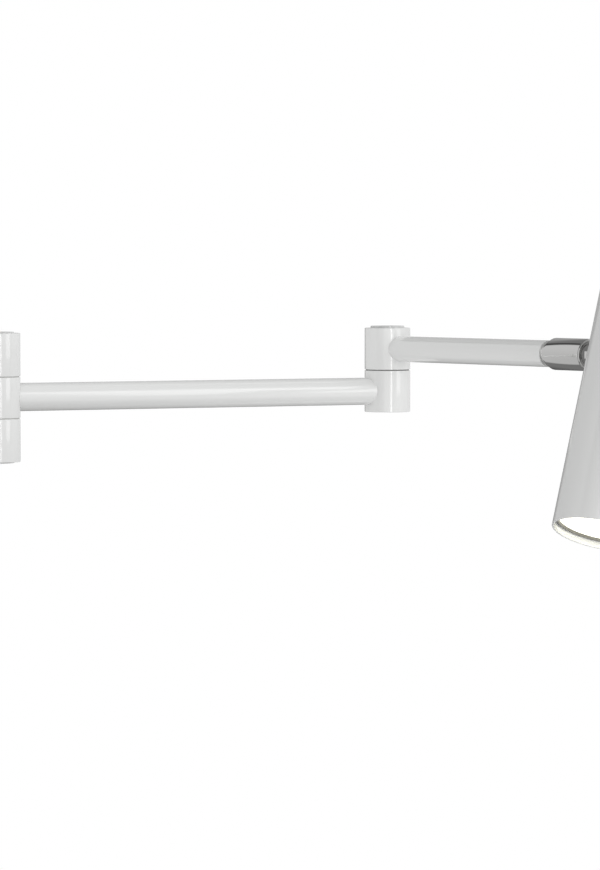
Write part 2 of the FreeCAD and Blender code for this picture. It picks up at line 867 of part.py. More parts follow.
def shade_lid():
    """Pressed lid with a rounded edge and a skirt inside the tube."""
    top = shade_above_stem
    floor = top - lid_thickness
    skirt = shade_inner_radius - seat_gap
    lean = lid_edge * (1 - ARC_SHARE)
    lid = turned([
        (0, floor), (skirt - lid_skirt_wall, floor), (skirt - lid_skirt_wall, floor - lid_skirt_depth),
        (skirt, floor - lid_skirt_depth), (skirt, floor), (shade_radius, floor),
        (shade_radius, top - lid_edge, (shade_radius - lean, top - lean)),
        (shade_radius - lid_edge, top), (0, top),
    ])
    lid.translate(shade_middle)
    return lid


# Lamp and lampholder

def bowl_middle(rim, rim_level, neck):
    """Point halfway up the bowl's curve, bulging out of the straight line from rim to neck."""
    return (rim + neck) / 2 + (rim - neck) * bowl_bulge_share, (rim_level + lamp_neck_level) / 2


def lamp_reflector():
    """Bowl of the lamp: a short rim, a curved back, and a ledge for the front lens."""
    rim = lamp_diameter / 2
    neck = lamp_neck_diameter / 2
    seat = lens_radius + seat_gap
    ledge = lens_front + lens_thickness
    rim_top = lens_front + lamp_rim_height
    inner_start = seat - lens_ledge
    inner_neck = neck - lamp_wall
    bowl = turned([
        (seat, lens_front), (rim, lens_front), (rim, rim_top, bowl_middle(rim, rim_top, neck)),
        (neck, lamp_neck_level), (inner_neck, lamp_neck_level, bowl_middle(inner_start, ledge, inner_neck)),
        (inner_start, ledge), (seat, ledge),
    ])
    bowl.translate(shade_middle)
    return bowl


def lamp_lens():
    """Frosted front lens."""
    return rod(lens_radius, lens_front, lens_front + lens_thickness, UP, shade_middle)


def lamp_base():
    """Ceramic foot of the lamp, with a spigot in the bowl's neck."""
    foot = rod(lamp_neck_diameter / 2, lamp_neck_level, lamp_base_top, UP, shade_middle)
    spigot = lamp_neck_diameter / 2 - lamp_wall - lamp_base_spigot_step
    return foot.fuse(rod(spigot, lamp_neck_level - lamp_base_spigot, lamp_neck_level, UP,
                         shade_middle)).removeSplitter()


def pin_places():
    return [shade_middle + ACROSS * (way * pin_spacing / 2) for way in (1, -1)]


def lamp_pins():
    """Two headed pins of the twist base."""
    made = []
    for place in pin_places():
        head_start = lamp_base_top + pin_length - pin_head_height
        pin = rod(pin_radius, lamp_base_top, head_start, UP, place)
        made.append(pin.fuse(rod(pin_head_radius, head_start, lamp_base_top + pin_length, UP, place)))
    return Part.makeCompound(made)


def lampholder():
    """Ceramic holder with a well for each pin."""
    radius = holder_diameter / 2
    edge = holder_edge
    body = turned([
        (0, lamp_base_top), (radius, lamp_base_top), (radius, holder_top - edge),
        (radius - edge, holder_top), (0, holder_top),
    ])
    body.translate(shade_middle)
    for place in pin_places():
        well = rod(holder_well_radius, lamp_base_top - overrun, lamp_base_top + holder_well_depth, UP, place)
        body = body.cut(well)
    for place in holder_screw_places():
        hole = rod(holder_screw_radius + seat_gap, holder_top - holder_screw_length, holder_top + overrun,
                   UP, place)
        body = body.cut(hole)
    return body


def holder_contacts():
    """Sprung contact plates at the ends of the wells."""
    end = lamp_base_top + holder_well_depth
    made = [rod(contact_radius, end - contact_thickness, end, UP, place) for place in pin_places()]
    return Part.makeCompound(made)


def holder_screw_places():
    return [shade_middle + ALONG * (way * holder_screw_spacing / 2) for way in (1, -1)]


def holder_bracket():
    """Bent strip: its leg is clamped by the stem nut and its foot carries the lampholder."""
    foot_end = shade_offset + bracket_foot_past_axis
    foot_top = holder_top + bracket_leg_thickness
    strip = bent_strip(foot_end - leg_face, bracket_leg_above_stem - holder_top, bracket_leg_thickness,
                       bracket_leg_bend, bracket_leg_width)
    body = placed(strip, placement(foot_end, 0, holder_top, UP, HALF_TURN))
    body = body.cut(rod(thread_hole, leg_face - overrun, washer_face + overrun, ALONG))
    body = body.cut(rod(cable_hole_radius, holder_top - overrun, foot_top + overrun, UP, shade_middle))
    for place in holder_screw_places():
        hole = rod(holder_screw_radius + seat_gap, holder_top - overrun, foot_top + overrun, UP, place)
        body = body.cut(hole)
    return body.removeSplitter()


def holder_screws():
    made = []
    for place in holder_screw_places():
        seat = place + UP * (holder_top + bracket_leg_thickness)
        made.append(screw(holder_screw_radius, holder_screw_length, holder_screw_head_radius,
                          holder_screw_head_height, seat, -UP))
    return Part.makeCompound(made)


# Every piece, by the frame that it is drawn in

FIXED = Placement()
pieces = {
    "canopy": (FIXED, canopy()),
    "wall_bracket": (FIXED, wall_bracket()),
    "canopy_screws": (FIXED, canopy_screws()),
    "terminal_block": (FIXED, terminal_block()),
    "terminal_screws": (FIXED, terminal_screws()),
    "block_screw": (FIXED, block_screw()),
    "earth_screw": (FIXED, earth_screw()),
    "upper_wall_knuckle": (WALL_PIVOT, upper_wall_knuckle()),
    "lower_wall_knuckle": (WALL_PIVOT, lower_wall_knuckle()),
    "knuckle_nuts": (WALL_PIVOT, knuckle_nuts()),
    "wall_pivot_tube": (WALL_PIVOT, wall_pivot_tube()),
    "wall_pivot_nuts": (WALL_PIVOT, wall_pivot_nuts()),
    "upper_pivot_cap": (WALL_PIVOT, pivot_cap(knuckle_top, wall_cap_stand)),
    "lower_pivot_cap": (WALL_PIVOT, mirrored_down(pivot_cap(knuckle_top, wall_cap_stand))),
    "wall_washers": (WALL_PIVOT, wall_washers()),
    "root_barrel": (INNER_ARM, root_barrel()),
    "root_bush": (INNER_ARM, root_bush()),
    "inner_arm_tube": (INNER_ARM, inner_arm_tube()),
    "elbow_lower_barrel": (ELBOW, elbow_lower_barrel()),
    "elbow_pivot_tube": (ELBOW, elbow_pivot_tube()),
    "elbow_washer": (ELBOW, elbow_washer()),
    "elbow_spring_washer": (ELBOW, elbow_spring_washer()),
    "elbow_nut": (ELBOW, elbow_nut()),
    "elbow_upper_barrel": (OUTER_ARM, elbow_upper_barrel()),
    "elbow_bush": (OUTER_ARM, elbow_bush()),
    "elbow_cap": (OUTER_ARM, elbow_cap()),
    "outer_arm_tube": (OUTER_ARM, outer_arm_tube()),
    "arm_end_plug": (OUTER_ARM, arm_end_plug()),
    "swivel_nipple": (SOCKET, swivel_nipple()),
    "socket_body": (SOCKET, socket_body()),
    "nipple_washer": (SOCKET, nipple_washer()),
    "ball_seat": (SOCKET, ball_seat()),
    "disc_springs": (SOCKET, disc_springs()),
    "retaining_ring": (SOCKET, retaining_ring()),
    "ball_stem": (HEAD, ball_stem()),
    "stem_washer": (HEAD, stem_washer()),
    "stem_nut": (HEAD, stem_nut()),
    "outer_saddle": (HEAD, outer_saddle()),
    "inner_saddle": (HEAD, inner_saddle()),
    "shade_tube": (HEAD, shade_tube()),
    "shade_lid": (HEAD, shade_lid()),
    "holder_bracket": (HEAD, holder_bracket()),
    "lampholder": (HEAD, lampholder()),
    "holder_contacts": (HEAD, holder_contacts()),
    "holder_screws": (HEAD, holder_screws()),
    "lamp_base": (HEAD, lamp_base()),
    "lamp_pins": (HEAD, lamp_pins()),
    "lamp_reflector": (HEAD, lamp_reflector()),
    "lamp_lens": (HEAD, lamp_lens()),
}

os.makedirs("parts", exist_ok=True)
for name, (frame, shape) in pieces.items():
    placed(shape, frame).exportStep("parts/" + name + ".step")
    print(name, len(shape.Solids), "solids, valid:", shape.isValid())
for name, frame in (("wall pivot", WALL_PIVOT), ("elbow", OUTER_ARM), ("socket", SOCKET), ("head", HEAD)):
    print(name, frame.Base, "along", frame.Rotation.multVec(ALONG), "across",
          frame.Rotation.multVec(ACROSS), "up", frame.Rotation.multVec(UP))
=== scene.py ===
# %% [markdown]
# A white swing-arm wall lamp, dressed for its portrait.
# The construction is finished before this lesson starts: every piece has its real size and
# place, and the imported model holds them. Here each piece that the eye can reach gets the
# surface of the real thing: smooth turned barrels with broken edges, drawn tubes, bright
# chrome on the ball joint, and a glowing lamp just inside the mouth of a straight shade.

# %% Load the fixed frame
import json
import math

import bpy
from mathutils import Matrix, Vector

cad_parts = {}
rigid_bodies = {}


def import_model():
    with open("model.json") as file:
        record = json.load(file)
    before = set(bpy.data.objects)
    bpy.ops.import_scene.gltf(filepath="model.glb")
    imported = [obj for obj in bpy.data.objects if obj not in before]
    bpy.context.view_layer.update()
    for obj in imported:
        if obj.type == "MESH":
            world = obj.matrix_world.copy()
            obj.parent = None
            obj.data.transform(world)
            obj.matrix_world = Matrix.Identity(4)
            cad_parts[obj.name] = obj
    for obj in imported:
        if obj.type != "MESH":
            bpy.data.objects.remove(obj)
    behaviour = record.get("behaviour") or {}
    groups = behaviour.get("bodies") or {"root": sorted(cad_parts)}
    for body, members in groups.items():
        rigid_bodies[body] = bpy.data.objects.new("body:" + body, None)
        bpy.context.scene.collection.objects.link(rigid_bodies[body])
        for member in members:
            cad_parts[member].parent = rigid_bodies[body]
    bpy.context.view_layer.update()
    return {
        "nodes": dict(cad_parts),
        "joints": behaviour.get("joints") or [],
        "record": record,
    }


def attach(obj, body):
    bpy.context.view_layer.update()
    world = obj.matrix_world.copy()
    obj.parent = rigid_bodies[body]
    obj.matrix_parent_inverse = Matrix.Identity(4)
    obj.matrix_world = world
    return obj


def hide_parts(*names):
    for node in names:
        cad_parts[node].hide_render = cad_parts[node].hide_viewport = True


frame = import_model()
joints = {joint["name"]: joint for joint in frame["joints"]}

# %% [markdown]
# The pieces are measured in millimetres, as in their construction, and Blender counts in
# metres, so one scale value turns the one into the other. First come how finely round things
# are drawn and the main sizes of the barrels, tubes and caps.

# %% Main sizes
MM = 0.001
SMALL_ROUND = 64
ROUND = 128
BIG_ROUND = 192
BARREL = 13.5
BARREL_EDGE = 0.35
BORE = 5.03
BUSH_BORE = 6.58
POCKET = 8.5
CAP_SEAT = 10.03
CAP_SEAT_DEEP = 2.0
POCKET_DEEP = 6.0
ROOT_HALF = 11.5
KNUCKLE_LOW = 12.0
KNUCKLE_TOP = 36.4
ELBOW_HALF = 12.3
ELBOW_FLOOR = 7.0
INNER_TUBE = 8.0
OUTER_TUBE = 7.5
TUBE_WALL = 1.5
SPIGOT_LONG = 12.0
CABLE_HOLE = 3.0
CAP = 10.0
SOCKET_BACK = -32.8
print("barrels", 2 * BARREL, "mm across, arm tubes", 2 * INNER_TUBE, "and", 2 * OUTER_TUBE, "mm")

# %% [markdown]
# The joints say where the lamp turns, and their places and axes give each sub-assembly a
# frame of its own: +X runs along the stub, arm or stem and +Z points up the barrel or shade.
# Only the canopy's frame lies at the origin, with +Z out of the wall. So no piece below holds
# its place in the room as a bare number.

# %% Frames of the sub-assemblies


def frame_at(origin, along, up):
    """Matrix with its X axis along one direction and its Z axis as near another as it can be."""
    x = Vector(along).normalized()
    y = Vector(up).cross(x).normalized()
    z = x.cross(y)
    turned_frame = Matrix((x, y, z)).transposed().to_4x4()
    return Matrix.Translation(Vector(origin)) @ turned_frame


UP = Vector((0, 0, 1))
pivot_spot = Vector(joints["wall_swivel"]["pos_m"])
elbow_spot = Vector(joints["elbow_swivel"]["pos_m"])
ball_spot = Vector(joints["ball_tilt"]["pos_m"])
arm_way = elbow_spot - pivot_spot
arm_way.z = 0
inner_reach = arm_way.length / MM
outer_way = Vector(joints["socket_turn"]["axis"])
stem_way = Vector(joints["head_spin"]["axis"])
tilt_way = Vector(joints["ball_tilt"]["axis"])
WALL = frame_at(pivot_spot, (0, 1, 0), UP)
INNER = frame_at(pivot_spot, arm_way, UP)
ELBOW = frame_at(pivot_spot + arm_way, arm_way, UP)
OUTER = frame_at(elbow_spot, outer_way, UP)
SOCKET = frame_at(ball_spot, outer_way, UP)
HEAD = frame_at(ball_spot, stem_way, stem_way.cross(-tilt_way))
CANOPY = frame_at((0, 0, 0), (1, 0, 0), (0, -1, 0))
standoff = -pivot_spot.y / MM
collar_reach = (ball_spot - elbow_spot).length / MM + SOCKET_BACK
print("inner arm", round(inner_reach, 2), "mm, stand-off", round(standoff, 2), "mm")
print("chromed collar", round(collar_reach, 2), "mm from the elbow")

# %% [markdown]
# Most pieces of this lamp come off a lathe. By hand one would draw a circle, extrude it
# upwards and scale it ring by ring, which gives clean quads and even highlights, so that is
# what the helper does. Corners get a narrow bevel, because paint and plating never leave a
# knife edge, and a highlight needs a little width to sit on. Bevels and cuts can leave points
# that all but coincide, so these are merged before the shading is made smooth. Pieces are
# drawn upright, and the turn called LYING lays those that need it down along X.

# %% Helper for turned pieces
HAIRLINE = 0.002
SMOOTH_ANGLE = 30
BEVEL_STEPS = 3
BEVEL_ANGLE = 35
LYING = Matrix.Rotation(math.radians(90), 4, "Y")


def clear_selection():
    if bpy.context.mode != "OBJECT":
        bpy.ops.object.mode_set(mode="OBJECT")
    bpy.ops.object.select_all(action="DESELECT")


def activate(piece):
    clear_selection()
    piece.select_set(True)
    bpy.context.view_layer.objects.active = piece


def settle(piece, place):
    """Puts a piece in its frame and bakes the place into its mesh."""
    activate(piece)
    piece.matrix_world = place @ piece.matrix_world
    bpy.ops.object.transform_apply(location=True, rotation=True, scale=True)


def smooth(piece):
    """Closes the hairlines that bevels and cuts leave, and shades all but the sharp edges smooth."""
    activate(piece)
    bpy.ops.object.mode_set(mode="EDIT")
    bpy.ops.mesh.select_all(action="SELECT")
    bpy.ops.mesh.remove_doubles(threshold=HAIRLINE * MM)
    bpy.ops.mesh.dissolve_degenerate(threshold=HAIRLINE * MM)
    bpy.ops.object.mode_set(mode="OBJECT")
    bpy.ops.object.shade_smooth_by_angle(angle=math.radians(SMOOTH_ANGLE))


def apply_modifier(piece, kind, **settings):
    activate(piece)
    modifier = piece.modifiers.new(kind.lower(), kind)
    for name, value in settings.items():
        setattr(modifier, name, value)
    bpy.ops.object.modifier_apply(modifier=modifier.name)


def turned(name, outline, sides=ROUND, ring=True, bevel=0.0):
    """Draws a round piece upwards from (radius, height) steps, in millimetres.
    A ring closes on its first circle; otherwise both ends are filled."""
    clear_selection()
    radius, height = outline[0]
    bpy.ops.mesh.primitive_circle_add(vertices=sides, radius=radius * MM,
                                      location=(0, 0, height * MM))
    piece = bpy.context.object
    piece.name = name
    bpy.ops.object.mode_set(mode="EDIT")
    bpy.ops.mesh.select_mode(type="EDGE")
    bpy.ops.mesh.select_all(action="SELECT")
    for new_radius, new_height in outline[1:]:
        lift = (new_height - height) * MM
        bpy.ops.mesh.extrude_edges_move(TRANSFORM_OT_translate={"value": (0, 0, lift)})
        grow = new_radius / radius
        bpy.ops.transform.resize(value=(grow, grow, 1), center_override=(0, 0, new_height * MM))
        radius, height = new_radius, new_height
    bpy.ops.mesh.select_all(action="DESELECT")
    bpy.ops.mesh.select_non_manifold(extend=False)
    if ring:
        bpy.ops.mesh.bridge_edge_loops()
    else:
        bpy.ops.mesh.fill_holes(sides=0)
    bpy.ops.mesh.select_all(action="SELECT")
    bpy.ops.mesh.normals_make_consistent(inside=False)
    bpy.ops.object.mode_set(mode="OBJECT")
    if bevel:
        apply_modifier(piece, "BEVEL", width=bevel * MM, segments=BEVEL_STEPS, limit_method="ANGLE",
                       angle_limit=math.radians(BEVEL_ANGLE), use_clamp_overlap=True)
    return piece


def combine(piece, other, how):
    """Joins another piece on, or cuts its shape away, and removes it."""
    apply_modifier(piece, "BOOLEAN", operation=how, solver="EXACT", object=other)
    bpy.data.objects.remove(other, do_unlink=True)


# %% [markdown]
# The finishes are written as sums. A small class wraps one output of a node, so that
# noise * 0.2 + 0.3 adds the Math nodes by itself, and one method makes every other node.

# %% Shader sums
MIX_FIRST = 6
MIX_SECOND = 7
MIX_RESULT = 2


class Value:
    """One output of a node that can be used in a sum."""

    def __init__(self, finish, socket):
        self.finish = finish
        self.socket = socket

    def _sum(self, operation, first, second):
        return self.finish.node("ShaderNodeMath", {"operation": operation}, {0: first, 1: second})

    def __add__(self, other):
        return self._sum("ADD", self, other)

    def __rsub__(self, other):
        return self._sum("SUBTRACT", other, self)

    def __mul__(self, other):
        return self._sum("MULTIPLY", self, other)

    def __pow__(self, other):
        return self._sum("POWER", self, other)


class Finish:
    """A new material, or the world, with one method for all of its nodes."""

    def __init__(self, name, owner=None):
        self.material = owner or bpy.data.materials.new(name)
        self.material.use_nodes = True
        self.tree = self.material.node_tree
        self.tree.nodes.clear()

    def node(self, kind, settings=None, sockets=None, output=0):
        made = self.tree.nodes.new(kind)
        for name, value in (settings or {}).items():
            setattr(made, name, value)
        for name, value in (sockets or {}).items():
            if isinstance(value, Value):
                self.tree.links.new(value.socket, made.inputs[name])
            else:
                made.inputs[name].default_value = value
        return Value(self, made.outputs[output]) if made.outputs else None

    def place(self):
        return self.node("ShaderNodeTexCoord", output="Object")

    def noise(self, scale, detail, stretch=(1, 1, 1)):
        """Soft noise between 0 and 1, with its scale in waves per metre."""
        spot = self.node("ShaderNodeMapping", sockets={"Vector": self.place(), "Scale": stretch})
        return self.node("ShaderNodeTexNoise",
                         sockets={"Vector": spot, "Scale": scale, "Detail": detail})

    def bump(self, height, depth, strength):
        """Normal from a height between 0 and 1 that stands for a depth in millimetres."""
        return self.node("ShaderNodeBump", sockets={"Height": height, "Distance": depth * MM,
                                                    "Strength": strength})

    def blend(self, share, first, second):
        """Colour that goes from the first to the second as the share goes from 0 to 1."""
        return self.node("ShaderNodeMix", {"data_type": "RGBA"},
                         {"Factor": share, MIX_FIRST: first, MIX_SECOND: second},
                         output=MIX_RESULT)

    def step(self, value, start, full):
        """Share that goes smoothly from 0 at the start to 1 at the full value."""
        return self.node("ShaderNodeMapRange", {"interpolation_type": "SMOOTHSTEP"},
                         {"Value": value, "From Min": start, "From Max": full})

    def surface(self, **sockets):
        """The Principled shader; underscores in the names stand for spaces."""
        named = {name.replace("_", " "): value for name, value in sockets.items()}
        shader = self.node("ShaderNodeBsdfPrincipled", sockets=named)
        self.node("ShaderNodeOutputMaterial", sockets={"Surface": shader})
        return self.material


def grey(level, tint=(1.0, 1.0, 1.0)):
    return (level * tint[0], level * tint[1], level * tint[2], 1.0)


# %% [markdown]
# The arms and the shade are sprayed with gloss white enamel. Seen close it is not flat: the
# coat has the faint ripple of orange peel, about a millimetre across and less than two
# thousandths of one deep, patches a shade darker or lighter, and a haze of wiping marks.

# %% Gloss white paint
COOL = (0.995, 1.0, 0.992)
DARK_PATCH = 0.985
LIGHT_PATCH = 1.015
PEEL_DEEP = 0.0015


def paint(name, level, roughness):
    """Sprayed enamel of one grey level."""
    made = Finish(name)
    peel = made.noise(scale=900.0, detail=2.0)
    cloud = made.noise(scale=14.0, detail=4.0)
    wiping = made.noise(scale=60.0, detail=5.0, stretch=(1, 1, 6))
    colour = made.blend(cloud, grey(level * DARK_PATCH, COOL), grey(level * LIGHT_PATCH, COOL))
    return made.surface(
        Base_Color=colour,
        Roughness=wiping * 0.03 + roughness,
        Specular_IOR_Level=0.5,
        Coat_Weight=0.8,
        Coat_Roughness=0.04,
        Normal=made.bump(peel, PEEL_DEEP, strength=0.35),
    )


ARM_PAINT = paint("arm_paint", level=0.80, roughness=0.18)
# The shade takes the same enamel at a lower level: painted shade, for the dimmer light that falls on
# it.
SHADE_PAINT = paint("shade_paint", level=0.73, roughness=0.24)
# The caps take the same enamel darker still: painted shade on their tops.
CAP_PAINT = paint("cap_paint", level=0.64, roughness=0.30)
print("paints:", ARM_PAINT.name, SHADE_PAINT.name, CAP_PAINT.name)

# %% [markdown]
# The ball joint is polished chrome over brass. A mirror finish on a turned piece keeps the
# finest trace of the polishing wheel round its axis and a few dull spots from fingers. So
# the roughness moves very little, and the wheel's rings are a thousandth of a millimetre deep.

# %% Chrome
CHROME_TINT = (1.0, 0.995, 0.985)
RING_DEEP = 0.001


def chrome(name, axis, level, roughness):
    """Polished chrome with the wheel's rings round an axis."""
    made = Finish(name)
    smudge = made.noise(scale=170.0, detail=4.0)
    along = made.node("ShaderNodeVectorMath", {"operation": "DOT_PRODUCT"},
                      {0: made.place(), 1: axis}, output="Value")
    rings = made.node("ShaderNodeTexNoise", {"noise_dimensions": "1D"},
                      {"W": along, "Scale": 3500.0, "Detail": 2.0})
    return made.surface(
        Base_Color=grey(level, CHROME_TINT),
        Metallic=1.0,
        Roughness=smudge * 0.05 + rings * 0.02 + roughness,
        Normal=made.bump(rings, RING_DEEP, strength=0.2),
    )


SOCKET_CHROME = chrome("socket_chrome", outer_way, level=0.68, roughness=0.03)
# The ring in the socket's mouth takes the same chrome much darker: painted shade for the shadowed
# mouth.
RING_CHROME = chrome("ring_chrome", outer_way, level=0.38, roughness=0.08)
STEM_CHROME = chrome("stem_chrome", stem_way, level=0.68, roughness=0.03)
print("chromes:", SOCKET_CHROME.name, RING_CHROME.name, STEM_CHROME.name)

# %% [markdown]
# The hidden hardware is zinc plated steel, nylon, brass and ceramic. The back of the lamp is
# open to the wall, so these show from behind and get their own surface too. Zinc has a bloom
# of grey flakes a few millimetres across, each a little lighter or darker than the next.

# %% Hardware finishes
ZINC_DARK = (0.46, 0.475, 0.49, 1)
ZINC_LIGHT = (0.66, 0.67, 0.68, 1)
BRASS_DARK = (0.70, 0.52, 0.22, 1)
BRASS_LIGHT = (0.83, 0.68, 0.36, 1)
MOULDED_DARK = 0.93


def zinc():
    made = Finish("zinc_steel")
    flakes = made.node("ShaderNodeTexVoronoi", output="Color",
                       sockets={"Vector": made.place(), "Scale": 320.0})
    flake = made.node("ShaderNodeSeparateColor", sockets={"Color": flakes}, output="Red")
    cloud = made.noise(scale=90.0, detail=4.0)
    tone = made.blend(cloud * 0.6 + flake * 0.4, ZINC_DARK, ZINC_LIGHT)
    return made.surface(Base_Color=tone, Metallic=0.9, Roughness=cloud * 0.15 + flake * 0.1 + 0.26)


def moulded(name, colour, roughness, ripple):
    """Plastic or ceramic, with a fine grain and clouds a little darker than its colour."""
    made = Finish(name)
    grain = made.noise(scale=1500.0, detail=2.0)
    cloud = made.noise(scale=40.0, detail=3.0)
    dark = tuple(part * MOULDED_DARK for part in colour[:3]) + (1.0,)
    return made.surface(Base_Color=made.blend(cloud, dark, colour), Roughness=cloud * 0.1 + roughness,
                        Normal=made.bump(grain, ripple, strength=0.5))


def brass():
    made = Finish("contact_brass")
    stain = made.noise(scale=300.0, detail=4.0)
    colour = made.blend(stain, BRASS_DARK, BRASS_LIGHT)
    return made.surface(Base_Color=colour, Metallic=1.0, Roughness=stain * 0.15 + 0.2)


ZINC = zinc()
BRASS = brass()
NYLON = moulded("nylon", (0.10, 0.10, 0.10, 1), roughness=0.5, ripple=0.01)
NATURAL_NYLON = moulded("natural_nylon", (0.60, 0.60, 0.58, 1), roughness=0.5, ripple=0.01)
CONNECTOR = moulded("connector_plastic", (0.82, 0.82, 0.78, 1), roughness=0.42, ripple=0.008)
CERAMIC = moulded("ceramic", (0.80, 0.78, 0.72, 1), roughness=0.6, ripple=0.02)
REFLECTOR = moulded("reflector", (0.16, 0.155, 0.14, 1), roughness=0.35, ripple=0.006)
print("metals:", ZINC.name, BRASS.name)
print("moulded:", NYLON.name, NATURAL_NYLON.name, CONNECTOR.name, CERAMIC.name, REFLECTOR.name)

# %% [markdown]
# The lamp is on. Its front lens is frosted glass lit from behind, in a warm white that is
# brightest in the middle and dimmer towards the rim. The glow also lights the inside of the
# shade's mouth, which is why it shows cream and not grey.

# %% Glowing lens
LENS_GLOW = 3.2
GLOW_FALL = 3.0
GLOW_MIDDLE = (1.0, 0.98, 0.78, 1)
GLOW_RIM = (0.36, 0.35, 0.28, 1)
FROSTED_WHITE = (0.9, 0.9, 0.88, 1)
FROST_DEEP = 0.01
LENS_RADIUS = 24.0
LENS_FRONT = -105.5
SHADE_OFFSET = 43.5
lens_spot = HEAD @ Vector((SHADE_OFFSET * MM, 0, LENS_FRONT * MM))


def glowing_lens():
    made = Finish("frosted_glass")
    away = made.node("ShaderNodeVectorMath", {"operation": "DISTANCE"},
                     {0: made.place(), 1: lens_spot}, output="Value")
    rim = (away * (1 / (LENS_RADIUS * MM))) ** GLOW_FALL
    frost = made.noise(scale=2200.0, detail=2.0)
    glow = made.blend(rim, GLOW_MIDDLE, GLOW_RIM)
    return made.surface(Base_Color=FROSTED_WHITE, Roughness=0.45, Emission_Color=glow,
                        Emission_Strength=LENS_GLOW,
                        Normal=made.bump(frost, FROST_DEEP, strength=0.3))


LENS = glowing_lens()
print("lens", 2 * LENS_RADIUS, "mm across, with a glow of", LENS_GLOW)

# %% [markdown]
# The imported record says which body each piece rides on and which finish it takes, so a
# finished piece only has to name the piece of the construction that it stands for. A piece
# whose paint or chrome differs a little from that of its neighbours names its own as well.

# %% Handing a piece over to the frame
FINISHES = {
    "arm_paint": ARM_PAINT,
    "shade_paint": SHADE_PAINT,
    "joint_chrome": SOCKET_CHROME,
    "zinc_steel": ZINC,
    "nylon": NYLON,
    "natural_nylon": NATURAL_NYLON,
    "connector_plastic": CONNECTOR,
    "contact_brass": BRASS,
    "ceramic": CERAMIC,
    "reflector": REFLECTOR,
    "frosted_glass": LENS,
}
bodies = frame["record"]["behaviour"]["bodies"]
BODY_OF = {node: body for body, nodes in bodies.items() for node in nodes}
SLOT_OF = {part["node"]: part["material_slot"] for part in frame["record"]["subparts"]}
print("pieces with a body:", len(BODY_OF), "pieces with a finish:", len(SLOT_OF))


def hand_over(piece, node, finish=None):
    """Lets a finished piece stand for a piece of the construction and ride where that does."""
    slot = SLOT_OF[node]
    piece.name = "finished_" + node
    piece.data.name = piece.name
    piece.data.materials.clear()
    piece.data.materials.append(finish or FINISHES[slot])
    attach(piece, BODY_OF[node])
    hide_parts(node)
    print(piece.name, "rides on", BODY_OF[node], "with", len(piece.data.polygons), "faces")


def finish_piece(piece, node, place, finish=None):
    """Puts a shaped piece in its place, smooths it and hands it over."""
    settle(piece, place)
    smooth(piece)
    hand_over(piece, node, finish)


# %% [markdown]
# The canopy is spun from a flat disc, so its front corner is a soft quarter round. It is
# drawn from its inner floor, down the inside, round the rim and up the outside, and the two
# open circles are filled. Then the stubs' and the side screws' holes are drilled.

# %% Canopy
CANOPY_RADIUS = 55.0
CANOPY_DEEP = 24.0
CANOPY_WALL = 1.5
CANOPY_CORNER = 4.0
CANOPY_BEVEL = 0.2
CORNER_STEPS = 8
STUB_THREAD = 5.0
STUB_LEVEL = (KNUCKLE_LOW + KNUCKLE_TOP) / 2
SCREW_SETBACK = 8.0
SCREW_SHANK = 1.95
SEAT_GAP = 0.03


def round_stretch(centre_radius, centre_height, size, start, end, steps=CORNER_STEPS):
    """Steps of a round stretch of an outline, between two angles in degrees."""
    angles = [math.radians(start + (end - start) * i / steps) for i in range(steps + 1)]
    return [(centre_radius + size * math.cos(a), centre_height + size * math.sin(a)) for a in angles]


def drill(piece, radius, start, end, place):
    """Cuts a straight round hole, drawn upwards in its own frame."""
    tool = turned("drill", [(radius, start), (radius, end)], sides=SMALL_ROUND, ring=False)
    settle(tool, place)
    combine(piece, tool, "DIFFERENCE")


def along_x(z=0.0, turn=0.0):
    """Frame whose Z axis runs along X, turned about the upright axis by some degrees."""
    spin = Matrix.Rotation(math.radians(turn), 4, "Z")
    return spin @ Matrix.Translation((0, 0, z * MM)) @ LYING


def side_frame(way):
    """Frame at the side screws' level, whose Z axis points out to one side of the canopy."""
    level = Matrix.Translation((0, 0, SCREW_SETBACK * MM))
    return level @ Matrix.Rotation(math.radians(90 * way), 4, "Y")


bend = CANOPY_RADIUS - CANOPY_CORNER
inner_corner = CANOPY_CORNER - CANOPY_WALL
canopy = turned("canopy_shell", [
    *reversed(round_stretch(bend, CANOPY_DEEP - CANOPY_CORNER, inner_corner, 0, 90)),
    (CANOPY_RADIUS - CANOPY_WALL, 0), (CANOPY_RADIUS, 0),
    *round_stretch(bend, CANOPY_DEEP - CANOPY_CORNER, CANOPY_CORNER, 0, 90),
], sides=BIG_ROUND, ring=False, bevel=CANOPY_BEVEL)
for way in (1, -1):
    stub_frame = Matrix.Translation((0, way * STUB_LEVEL * MM, 0))
    drill(canopy, STUB_THREAD + SEAT_GAP,
          CANOPY_DEEP - 2 * CANOPY_WALL, CANOPY_DEEP + CANOPY_WALL, stub_frame)
    drill(canopy, SCREW_SHANK + SEAT_GAP, bend, CANOPY_RADIUS + CANOPY_WALL, side_frame(way))
finish_piece(canopy, "canopy", CANOPY)

# %% [markdown]
# The canopy is held by a small screw at each side. The head is a low dome with a slot, which
# is a turned piece with a box taken out. Both are one piece, because the construction counts
# them as one.

# %% Canopy screws
HEAD_RADIUS = 3.6
HEAD_TALL = 2.0
HEAD_WALL = 0.7
SHANK_LONG = 6.2
SLOT_WIDE = 0.8
SCREW_BEVEL = 0.08
DOME_END = 82
DOME_STEPS = 6


def dome(radius, foot, top):
    """Steps of a low dome, from its foot to a small flat at its top."""
    angles = [math.radians(DOME_END * i / DOME_STEPS) for i in range(DOME_STEPS + 1)]
    return [(radius * math.cos(a), foot + (top - foot) * math.sin(a)) for a in angles]


